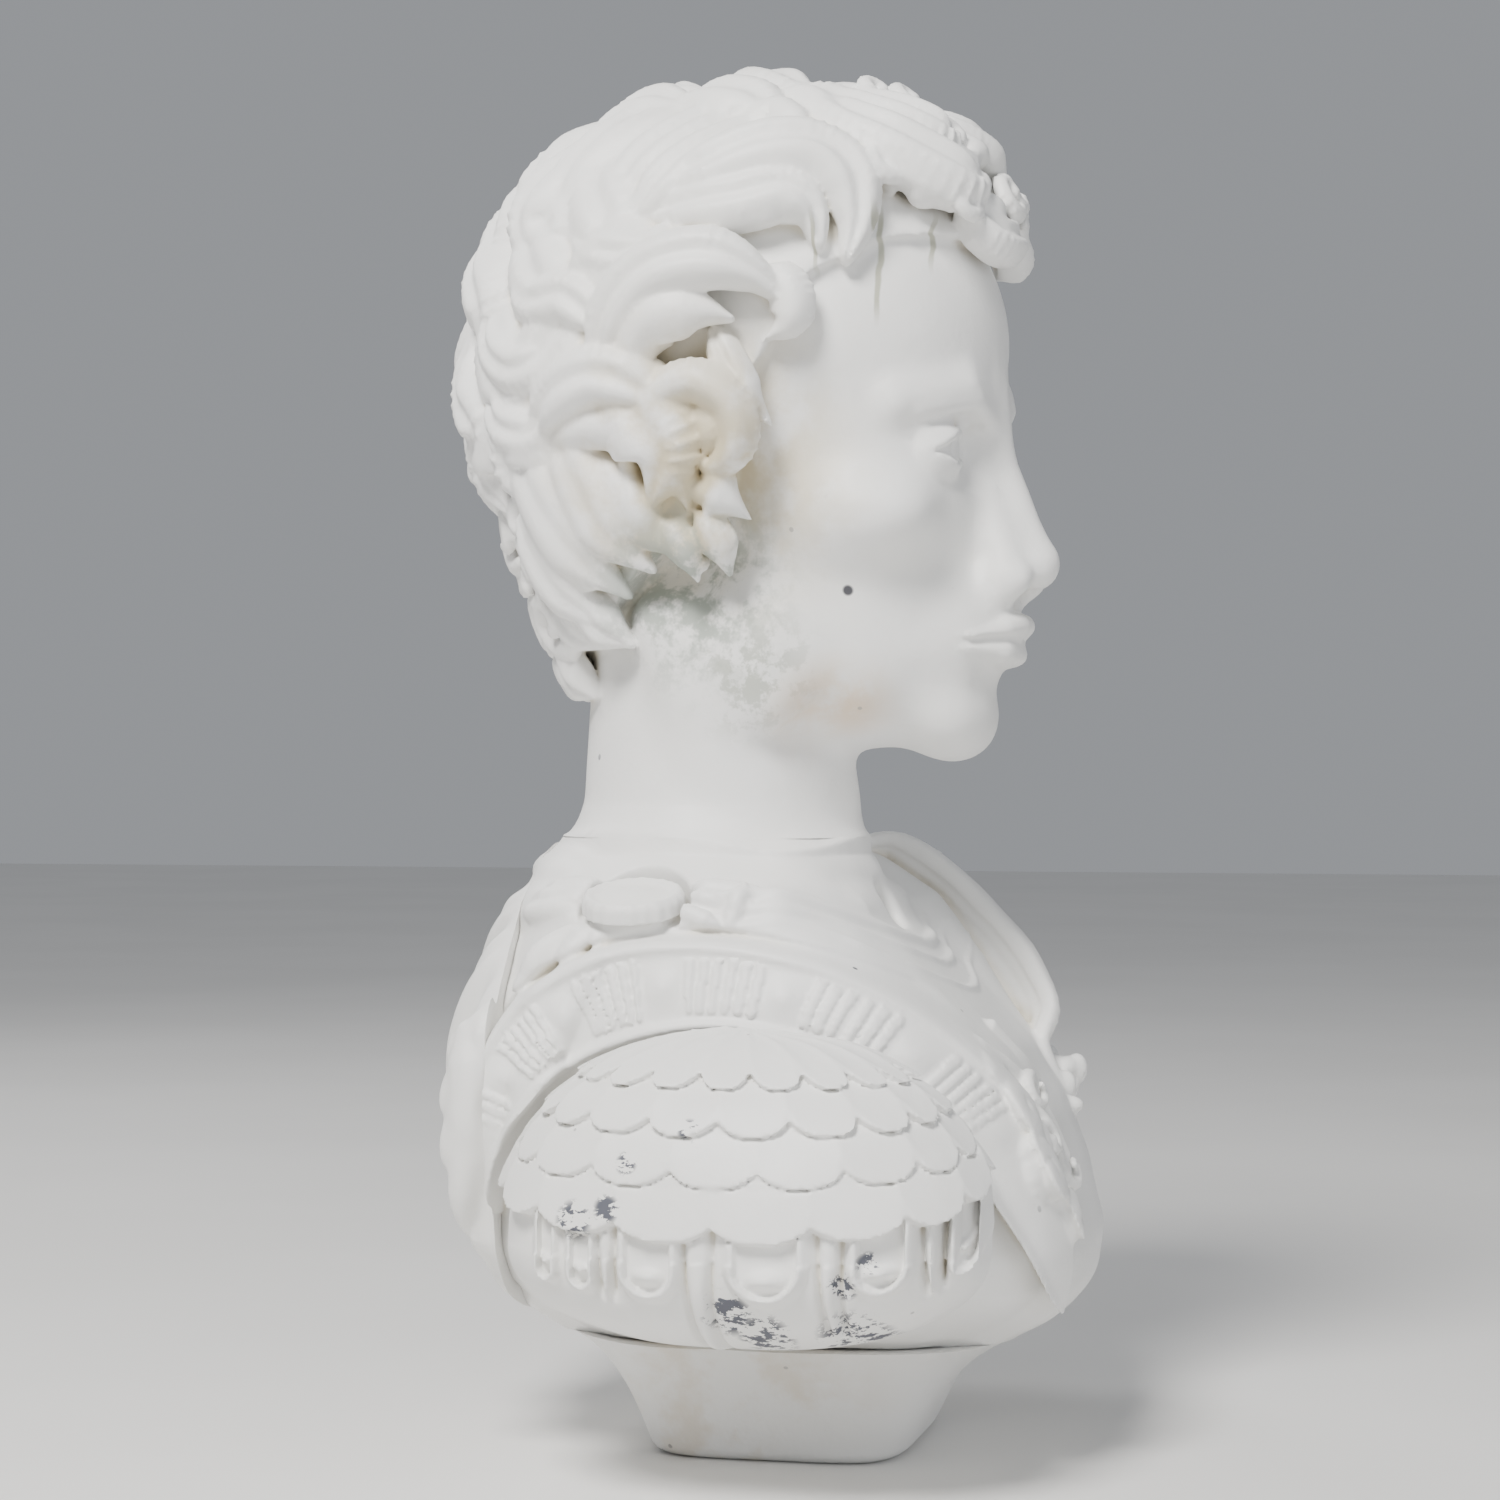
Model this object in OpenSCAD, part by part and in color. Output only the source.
// Pieced marble bust of a man in a scale cuirass, on its own foot block.
// Millimetres, +Z up. The origin is the middle of the resting face; the chest faces -Y
// and the sitter's right shoulder, with the cloak brooch, is on -X.

/* [Foot block] */
// Width of the foot block where it stands
foot_w = 104; // [90:1:125]
// Depth of the foot block where it stands
foot_d = 92; // [80:1:108]
// Height of the foot block
foot_h = 44; // [34:1:58]
// How far the foot block sweeps out on each side by its top
foot_flare = 36; // [26:1:40]

/* [Torso] */
// Height of the torso from the foot block to the collar
torso_h = 180; // [155:1:205]
// Width of the torso between the two shoulder joints
torso_w = 212; // [195:1:240]
// Reach of the chest in front of the foot block's middle
chest_front = 116; // [102:1:128]
// Marble left round the neck's seat at the collar
collar_wall = 11.5; // [8:0.5:15]

/* [Shoulders] */
// How far the shoulders' middle stands in front of the foot block's middle
shoulder_front = 8; // [0:1:20]
// How far each shoulder stands out from its joint
shoulder_out = 52; // [38:1:68]
// Depth of a shoulder, front to back
shoulder_d = 168; // [146:1:176]
// Height of a shoulder
shoulder_h = 104; // [90:1:112]

/* [Cloak] */
// Thickness of the cloak at its deepest, behind its joint
cloak_t = 34; // [24:1:44]
// Depth of the carved folds
fold_depth = 5; // [2:1:8]
// Number of folds across the back
fold_count = 5; // [3:1:8]

/* [Neck] */
// Radius of the round tenon under the neck
neck_seat_r = 50; // [44:1:62]
// Depth of the round seat in the torso
neck_seat_depth = 14; // [8:1:20]
// How far the neck stands over the edge of its seat and rests on the collar
neck_rest = 2; // [1:0.5:5]
// Gap round the tenon, filled with setting plaster
seat_gap = 0.5; // [0.2:0.1:1]
// Distance of the neck's middle behind the foot block's middle
neck_back = 30; // [22:1:36]
// How far the ears stand in front of the neck's middle
ear_front = 17; // [8:1:22]
// Length of the neck from its seat to the chin
neck_h = 40; // [34:1:54]

/* [Head] */
// Height of the head from the chin to the crown of the skull
head_h = 237; // [212:1:260]
// Width of the skull above the ears
head_w = 154; // [140:1:168]
// Length of the skull from the brow to the back
head_l = 192; // [175:1:208]
// Thickness of the carved hair over the skull
hair_t = 22; // [12:1:30]
// Turn of the head towards the sitter's right, in degrees
head_turn = 4; // [0:1:12]

/* [Brooch] */
// Radius of the cloak brooch
brooch_r = 18.5; // [14:0.5:22]
// Thickness of the cloak brooch
brooch_t = 8; // [5:0.5:11]
// Radius of the pin behind the brooch
brooch_pin_r = 2.5; // [1.5:0.5:4]
// Depth of the pin in the torso
brooch_pin_depth = 14; // [10:1:20]

/* [Dowels] */
// Radius of the dowel between head and torso
neck_dowel_r = 8; // [5:0.5:11]
// Depth of the neck dowel in each piece
neck_dowel_depth = 38; // [25:1:50]
// Radius of the dowels under the torso
foot_dowel_r = 5; // [3:0.5:8]
// Depth of a foot dowel in each piece
foot_dowel_depth = 24; // [15:1:28]
// Distance of each foot dowel from the middle
foot_dowel_x = 27; // [20:1:34]
// Radius of the dowel in each shoulder
arm_dowel_r = 6; // [4:0.5:9]
// Depth of a shoulder dowel in each piece
arm_dowel_depth = 26; // [18:1:32]
// Gap round every dowel
dowel_gap = 0.25; // [0.1:0.05:0.5]
// Air left past each dowel's far end
dowel_air = 1; // [0.5:0.5:3]

/* [Hidden] */

marble = [0.93, 0.92, 0.89];
iron = [0.45, 0.44, 0.43];
brass = [0.72, 0.58, 0.32];

foot_top = foot_h;
collar_z = foot_top + torso_h;
seat_z = collar_z - neck_seat_depth;
chin_z = seat_z + neck_h;
joint_x = torso_w / 2;
back_joint = neck_back + neck_seat_r + seat_gap + collar_wall; // the cloak's flat joint
cut = 400; // a block larger than any piece, used to cut flat joint faces

// ---- loft tools -----------------------------------------------------------

// Value at z of a table of [z, value, value, ...] rows, on a smooth curve through the rows.
function row_at(z, rows) = max([for (i = [0 : len(rows) - 2]) rows[i][0] <= z ? i : 0]);
function curve4(a, b, c, d, t) =
    b + 0.5 * t * (c - a + t * (2 * a - 5 * b + 4 * c - d + t * (3 * (b - c) + d - a)));
function smooth_at(z, rows, column) =
    let (i = row_at(z, rows),
         n = len(rows),
         t = (z - rows[i][0]) / (rows[i + 1][0] - rows[i][0]))
    curve4(rows[max(i - 1, 0)][column], rows[i][column], rows[i + 1][column],
           rows[min(i + 2, n - 1)][column], t);

function signed_power(v, power) = sign(v) * pow(abs(v), power);
function bell(v, width) = exp(-(v / width) * (v / width));

// One skin over a stack of rings that all have the same number of points.
module skin(rings) {
    sides = len(rings[0]);
    top = len(rings) - 1;
    polyhedron(
        points = [for (ring = rings) each ring],
        faces = [
            [for (i = [0 : sides - 1]) i],
            for (k = [0 : top - 1]) for (i = [0 : sides - 1])
                let (a = k * sides + i, b = k * sides + (i + 1) % sides)
                each [[a, a + sides, b + sides], [a, b + sides, b]],
            [for (i = [sides - 1 : -1 : 0]) top * sides + i]
        ],
        convexity = 8);
}

// ---- foot -----------------------------------------------------------------

// Outline of the foot at height z: straight below, sweeping outwards near the top.
function foot_ring(z) =
    let (t = z / foot_h,
         out = foot_flare * (0.65 * t + 0.35 * pow(t, 5)),
         a = foot_w / 2 + out, b = foot_d / 2 + out)
    [for (i = [0 : 63]) let (s = i * 360 / 64)
        [a * signed_power(cos(s), 0.42), b * signed_power(sin(s), 0.42), z]];

module foot_dowel_holes() {
    for (x = [-1, 1]) translate([x * foot_dowel_x, 0, foot_top - foot_dowel_depth])
        cylinder(r = foot_dowel_r + dowel_gap, h = 2 * foot_dowel_depth + dowel_air, $fn = 48);
}

module foot_block() {
    color(marble) difference() {
        skin([for (k = [0 : 9]) foot_ring(foot_h * k / 9)]);
        foot_dowel_holes();
    }
}

module foot_dowels() {
    color(iron) for (x = [-1, 1])
        translate([x * foot_dowel_x, 0, foot_top - foot_dowel_depth])
            cylinder(r = foot_dowel_r, h = 2 * foot_dowel_depth, $fn = 48);
}

// ---- torso ----------------------------------------------------------------

// Share of the torso's height, half width, front reach, back reach and corner power (a low
// power is squarer) of each station. The joint planes cut off what reaches past them.
wide = joint_x + 17;
torso_back_reach = back_joint + 34;
torso_rows = [
    [0.00, foot_w / 2 + foot_flare, foot_d / 2 + foot_flare, foot_d / 2 + foot_flare, 0.42],
    [0.03, foot_w / 2 + foot_flare + 8, foot_d / 2 + foot_flare + 12,
     foot_d / 2 + foot_flare + 8, 0.44],
    [0.08, joint_x + 6, chest_front - 6, torso_back_reach - 14, 0.46],
    [0.14, wide, chest_front, torso_back_reach, 0.48],
    [0.26, wide + 2, chest_front - 1, torso_back_reach, 0.5],
    [0.38, wide + 2, chest_front - 6, torso_back_reach, 0.52],
    [0.50, wide, chest_front - 14, torso_back_reach, 0.56],
    [0.61, wide - 4, chest_front - 24, torso_back_reach, 0.62],
    [0.70, joint_x + 6, chest_front - 35, torso_back_reach - 4, 0.68],
    [0.79, joint_x - 2, back_joint - 2 * neck_back + 39, torso_back_reach - 8, 0.74],
    [0.88, neck_seat_r + 42, back_joint - 2 * neck_back + 22, back_joint + 14, 0.78],
    [0.94, neck_seat_r + 28, back_joint - 2 * neck_back + 11, back_joint + 8, 0.8],
    [1.00, neck_seat_r + 14, back_joint - 2 * neck_back + 4, back_joint + 4, 0.8]];
torso_sides = 60;
torso_steps = 28;

function torso_ring(k) =
    let (t = min(k / torso_steps, 0.9999),
         a = smooth_at(t, torso_rows, 1),
         front = smooth_at(t, torso_rows, 2),
         back = smooth_at(t, torso_rows, 3),
         corner = smooth_at(t, torso_rows, 4))
    [for (i = [0 : torso_sides - 1]) let (s = i * 360 / torso_sides)
        [a * signed_power(cos(s), corner),
         (sin(s) > 0 ? back : front) * signed_power(sin(s), corner),
         foot_top + torso_h * k / torso_steps]];

module neck_seat() {
    translate([0, neck_back, seat_z])
        cylinder(r = neck_seat_r + seat_gap, h = cut, $fn = 96);
}

module neck_dowel_hole() {
    translate([0, neck_back, seat_z - neck_dowel_depth])
        cylinder(r = neck_dowel_r + dowel_gap, h = 2 * neck_dowel_depth + dowel_air, $fn = 64);
}

arm_z = foot_top + 14 + shoulder_h / 2;
module arm_dowel_hole(side) {
    translate([side * (joint_x - arm_dowel_depth), -shoulder_front, arm_z]) rotate([0, side * 90, 0])
        cylinder(r = arm_dowel_r + dowel_gap, h = 2 * arm_dowel_depth + dowel_air, $fn = 48);
}

module torso() {
    color(marble) difference() {
        skin([for (k = [0 : torso_steps]) torso_ring(k)]);
        for (side = [-1, 1]) {
            translate([side * (joint_x + cut / 2), 0, 0]) cube([cut, cut, 2 * cut], center = true);
            arm_dowel_hole(side);
        }
        translate([0, back_joint + cut / 2, 0]) cube([cut, cut, 2 * cut], center = true);
        neck_seat();
        neck_dowel_hole();
        foot_dowel_holes();
        brooch_place() translate([0, 0, -brooch_pin_depth])
            cylinder(r = brooch_pin_r + dowel_gap, h = cut, $fn = 40);
        brooch_place() cylinder(r = brooch_r + dowel_gap, h = cut, $fn = 72);
    }
}

// ---- shoulders ------------------------------------------------------------

arm_steps = 15;
arm_sides = 60;
// Relief of overlapping scales, deepest at each scale's lower edge.
function scale_relief(y, z) =
    let (row = (arm_z + shoulder_h / 2 - z) / 17,
         across = 1 - abs(sin(y * 9 + 90 * floor(row))),
         step = row - floor(row))
    row > 1 && row < 5 ? 1.8 * step * (0.5 + 0.5 * across) : row >= 5 ? 1.4 * sin(y * 18) : 0;
// Outline of the shoulder in the joint plane, an arch on a flatter underside.
function arm_ring(side, k) =
    let (t = 1 - pow(1 - k / arm_steps, 1.5),
         shrink = sqrt(1 - 0.97 * t * t),
         half = shoulder_h / 2)
    [for (i = [0 : arm_sides - 1])
        let (s = side * i * 360 / arm_sides,
             y = shoulder_d / 2 * shrink * signed_power(cos(s), 0.8),
             z = half * (sin(s) > 0 ? shrink : 0.96 * (shrink + 1) / 2) * signed_power(sin(s), 0.8),
             relief = side < 0 && k > 0 ? scale_relief(y, arm_z + z) : 0)
        [side * (joint_x + shoulder_out * t + (k > 2 ? relief : 0)), y - shoulder_front, arm_z + z]];

module shoulder(side) {
    color(marble) difference() {
        skin([for (k = [0 : arm_steps]) arm_ring(side, k)]);
        arm_dowel_hole(side);
    }
}

module right_shoulder() { shoulder(-1); }
module left_shoulder() { shoulder(1); }

module shoulder_dowels() {
    color(iron) for (side = [-1, 1])
        translate([side * (joint_x - arm_dowel_depth), -shoulder_front, arm_z])
            rotate([0, side * 90, 0]) cylinder(r = arm_dowel_r, h = 2 * arm_dowel_depth, $fn = 48);
}

// ---- cloak ----------------------------------------------------------------

cloak_rows = 17;
cloak_columns = 50;
cloak_bottom = foot_top + 14;
cloak_top = collar_z - 4;
cloak_half = joint_x - 9;

// Half width of the cloak at share v of its height: it follows the shoulder slope.
function cloak_side(v) =
    v < 0.6 ? cloak_half : cloak_half - (cloak_half - neck_seat_r + 8) * (v - 0.6) / 0.4;
function cloak_depth(u, v) =
    let (rise = min(0.55 + 3 * v, 1) * min(0.22 + 2.2 * (1 - v), 1),
         body = cloak_t * pow(max(1 - pow(abs(u), 2.4), 0), 0.6) * rise,
         fold = fold_depth * cos(fold_count * 180 * (u + 0.35 * v)) * (1 - pow(abs(u), 3)))
    max(body + fold * (1 - 0.7 * v), 4);
function cloak_ring(k) =
    let (v = k / cloak_rows, half = cloak_side(v), z = cloak_bottom + (cloak_top - cloak_bottom) * v)
    [for (i = [0 : cloak_columns]) let (u = 1 - 2 * i / cloak_columns)
        [u * half, back_joint + cloak_depth(u, v), z],
     [-half, back_joint, z], [half, back_joint, z]];

module cloak_back() {
    color(marble) skin([for (k = [0 : cloak_rows]) cloak_ring(k)]);
}

// ---- brooch ---------------------------------------------------------------

brooch_lean = 15; // tilt of the brooch's face down the shoulder slope
brooch_x = neck_seat_r + brooch_r + 10;
brooch_y = neck_back + 12;
brooch_z = collar_z - 26; // seat of the brooch
module brooch_place() {
    translate([-brooch_x, brooch_y, brooch_z]) rotate([0, -brooch_lean, 0]) children();
}

module cloak_brooch() {
    color(marble) brooch_place() difference() {
        rotate_extrude($fn = 72) polygon([
            [0, 0], [brooch_r, 0], [brooch_r, brooch_t - 3], [brooch_r - 2, brooch_t - 1],
            [brooch_r * 0.6, brooch_t], [0, brooch_t]]);
        translate([0, 0, -1]) cylinder(r = brooch_pin_r + dowel_gap, h = brooch_t / 2 + 1, $fn = 40);
    }
}

module brooch_pin() {
    color(brass) brooch_place() translate([0, 0, -brooch_pin_depth])
        cylinder(r = brooch_pin_r, h = brooch_pin_depth + brooch_t / 2 - 0.5, $fn = 40);
}

// ---- head -----------------------------------------------------------------

// Heights are measured from the chin; each row is half width, reach towards the face and
// reach towards the back, from the ear axis.
skull_w = head_w / 2;
brow = head_l * 0.508;
nape = head_l - brow;
head_top = head_h + hair_t;
plan_h = 228; // the rows and relief are laid out on a head this high, and stretched to head_h
head_rows = [
    [-neck_h + neck_seat_depth, neck_seat_r + neck_rest, neck_seat_r + neck_rest - ear_front,
     neck_seat_r + neck_rest + ear_front],
    [-neck_h + neck_seat_depth + 8, neck_seat_r - 1, neck_seat_r - ear_front - 1,
     neck_seat_r + ear_front - 1],
    [-6, 51, neck_seat_r - ear_front, neck_seat_r + ear_front],
    [4, 53, 78, 60],
    [16, 57, brow - 9, 64],
    [40, 63, brow - 4, nape - 16],
    [63, skull_w - 7, brow - 4, nape - 4],
    [90, skull_w - 4, brow - 8, nape],
    [114, skull_w, brow - 8, nape + hair_t * 0.3],
    [127, skull_w + 2, brow, nape + hair_t * 0.45],
    [150, skull_w + hair_t * 0.3, brow, nape + hair_t * 0.5],
    [172, skull_w + hair_t * 0.4, brow + 4, nape + hair_t * 0.5],
    [192, skull_w + hair_t * 0.3, brow + hair_t * 0.7, nape + hair_t * 0.4],
    [plan_h - 14, skull_w - 8, brow + hair_t * 0.5, nape - 10],
    [plan_h, skull_w - 24, brow - 12, nape - 30],
    [plan_h + hair_t * 0.6, skull_w - 42, 58, nape - 50],
    [plan_h + hair_t, 10, 26, 12]];
head_sides = 60;
face_step = 5.5; // height between rings above the neck

// Relief added outwards at angle s from the face's middle and height h over the chin.
nose_tip = 69;
function nose_out(h) =
    max(h > nose_tip ? 23 - 19 * (h - nose_tip) / 44 : 23 - 23 * (nose_tip - h) / 10, 0);
function nose_relief(s, h) = h > 118 ? 0 : nose_out(h) * bell(s, 12.5 - 0.1 * (h - 62));
function face_relief(s, h) =
    nose_relief(s, h)
    - 7 * bell(s - 21, 10) * bell(h - 111, 9)              // eye sockets
    + 4.5 * bell(s - 21, 6) * bell(h - 110, 5)             // eyes
    + 2.5 * bell(s - 18, 16) * bell(h - 126, 5)            // brows
    + 4 * bell(s - 40, 13) * bell(h - 90, 15)              // cheekbones
    + 4.5 * bell(s, 15) * bell(h - 46, 4)                  // upper lip
    + 4.5 * bell(s, 13) * bell(h - 37, 4)                  // lower lip
    - 4 * bell(s, 16) * bell(h - 27, 5)                    // fold over the chin
    + 4 * bell(s, 13) * bell(h - 12, 8);                   // chin
// Height of the hair's lower edge at angle s from the face's middle.
function hair_edge(s) =
    s < 45 ? 180 : s < 80 ? 180 - 90 * (s - 45) / 35 : s < 100 ? 90 : 90 - 56 * (s - 100) / 80;
// Rounded locks of hair in staggered, wandering rows.
function hair_relief(side, s, h) =
    h < hair_edge(s) ? 0
    : 2.5 + 4 * sin(side * s * 9 + 50 * sin(h * 5)) * sin(h * 9 + 60 * sin(side * s * 4))
      * min(1, (plan_h + hair_t - h) / 30);

function on_plan(h) = h < 0 ? h : h > head_h ? h - head_h + plan_h : h * plan_h / head_h;
function head_ring(level) =
    let (h = on_plan(level),
         a = smooth_at(h, head_rows, 1),
         front = smooth_at(h, head_rows, 2),
         back = smooth_at(h, head_rows, 3))
    [for (i = [0 : head_sides - 1])
        let (around = i * 360 / head_sides - 180,
             off = around - 28 * sin(around),  // 0 at the face's middle, denser there
             s = 270 + off,
             out = h < 2 ? 0 : face_relief(abs(off), h) + hair_relief(sign(off), abs(off), h))
        [(a + out) * cos(s), ((sin(s) > 0 ? back : front) + out) * sin(s), chin_z + level]];

head_levels = [-neck_h + neck_seat_depth, -neck_h + neck_seat_depth + 8, -6,
    for (k = [0 : floor((head_top - 3) / face_step)]) 3 + k * face_step];

module head() {
    color(marble) difference() {
        union() {
            translate([0, neck_back, 0]) rotate([0, 0, -head_turn]) translate([0, -ear_front, 0])
                skin([for (h = head_levels) head_ring(h)]);
            translate([0, neck_back, seat_z])
                cylinder(r = neck_seat_r, h = neck_seat_depth + 2, $fn = 96);
        }
        neck_dowel_hole();
    }
}

module neck_dowel() {
    color(iron) translate([0, neck_back, seat_z - neck_dowel_depth])
        cylinder(r = neck_dowel_r, h = 2 * neck_dowel_depth, $fn = 64);
}

foot_block();
foot_dowels();
torso();
right_shoulder();
left_shoulder();
shoulder_dowels();
cloak_back();
cloak_brooch();
brooch_pin();
head();
neck_dowel();
